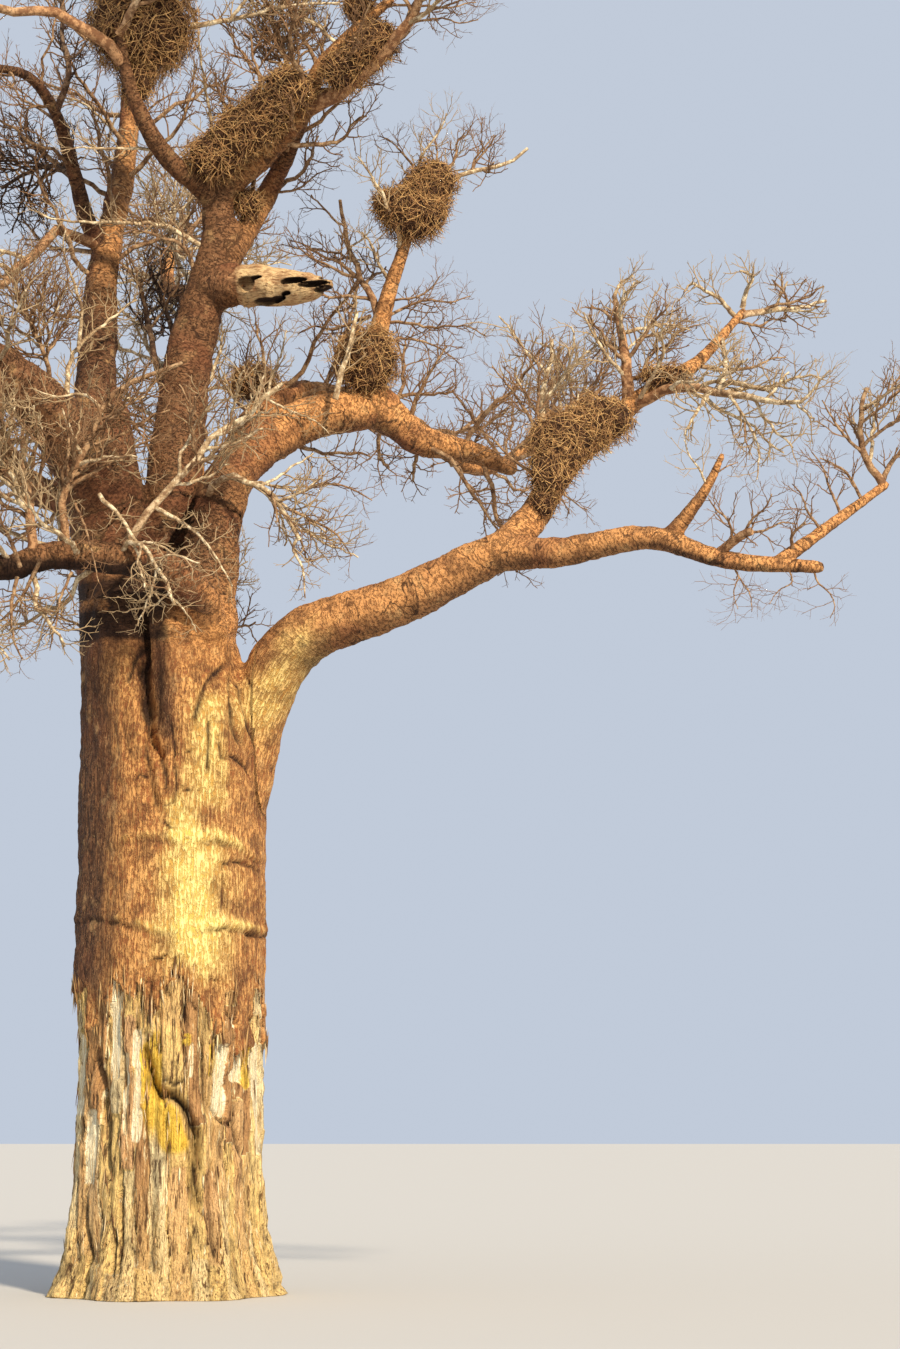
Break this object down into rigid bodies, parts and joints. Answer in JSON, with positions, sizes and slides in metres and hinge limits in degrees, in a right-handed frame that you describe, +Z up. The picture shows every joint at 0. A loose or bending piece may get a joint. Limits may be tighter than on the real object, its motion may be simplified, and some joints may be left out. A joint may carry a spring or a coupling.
{
  "type": "baobab tree",
  "caption": "Bare dry-season baobab: a fluted swollen trunk, great stems and bending boughs, a crown of bare twigs, and stick nests in its forks.",
  "frame": {"origin": "the middle of the flat cut under the trunk, at ground level", "axes": "+Z up along the trunk; the long right bough reaches along +X; the side the tree is seen from faces -Y"},
  "size_m": [20.984, 17.0222, 23.6709],
  "materials": {
    "bark": "rough fibrous bark, orange-brown in the light, with ring scars, wrinkles and a stripped, streaked foot",
    "dead_wood": "weathered bare wood of a dead limb, hollowed and split",
    "twig": "bare twigs with grey and cream lichen",
    "nest": "loosely packed dry sticks"
  },
  "bodies": {
    "root": {"trunk": "bark", "left_stem": "bark", "centre_stem": "bark", "right_high_bough": "bark", "right_low_bough": "bark", "right_low_riser": "bark", "right_arm": "bark", "right_arm_riser": "bark", "broken_spar": "bark", "right_high_outer_bough": "bark", "nest_spar": "bark", "centre_right_limb": "bark", "centre_left_limb": "bark", "centre_prop_limb": "bark", "left_centre_limb": "bark", "left_curving_limb": "bark", "left_high_bough": "bark", "front_low_bough": "bark", "back_right_bough": "bark", "back_bough": "bark", "back_left_bough": "bark", "rear_low_bough": "bark", "hollow_stub": "dead_wood", "right_tip_spray": "twig", "far_right_spray": "twig", "low_right_crown_spray": "twig", "right_crown_spray": "twig", "inner_right_crown_spray": "twig", "spar_tip_spray": "twig", "mid_spray": "twig", "right_low_spray": "twig", "centre_limb_spray": "twig", "centre_fork_spray": "twig", "centre_high_spray": "twig", "centre_left_tip_spray": "twig", "left_centre_tip_spray": "twig", "top_left_spray": "twig", "left_curving_spray": "twig", "left_side_spray": "twig", "left_drooping_spray": "twig", "left_rising_spray": "twig", "front_left_spray": "twig", "left_front_spray": "twig", "front_spray": "twig", "hanging_spray": "twig", "stem_gap_spray": "twig", "left_high_tip_spray": "twig", "left_high_side_spray": "twig", "left_high_low_spray": "twig", "front_tip_spray": "twig", "back_right_tip_spray": "twig", "back_tip_spray": "twig", "back_left_tip_spray": "twig", "rear_low_tip_spray": "twig", "top_nest": "nest", "limb_nest_left": "nest", "limb_nest_right": "nest", "spar_nest": "nest", "spar_foot_nest": "nest", "right_crown_nest": "nest"}
  },
  "joints": []
}
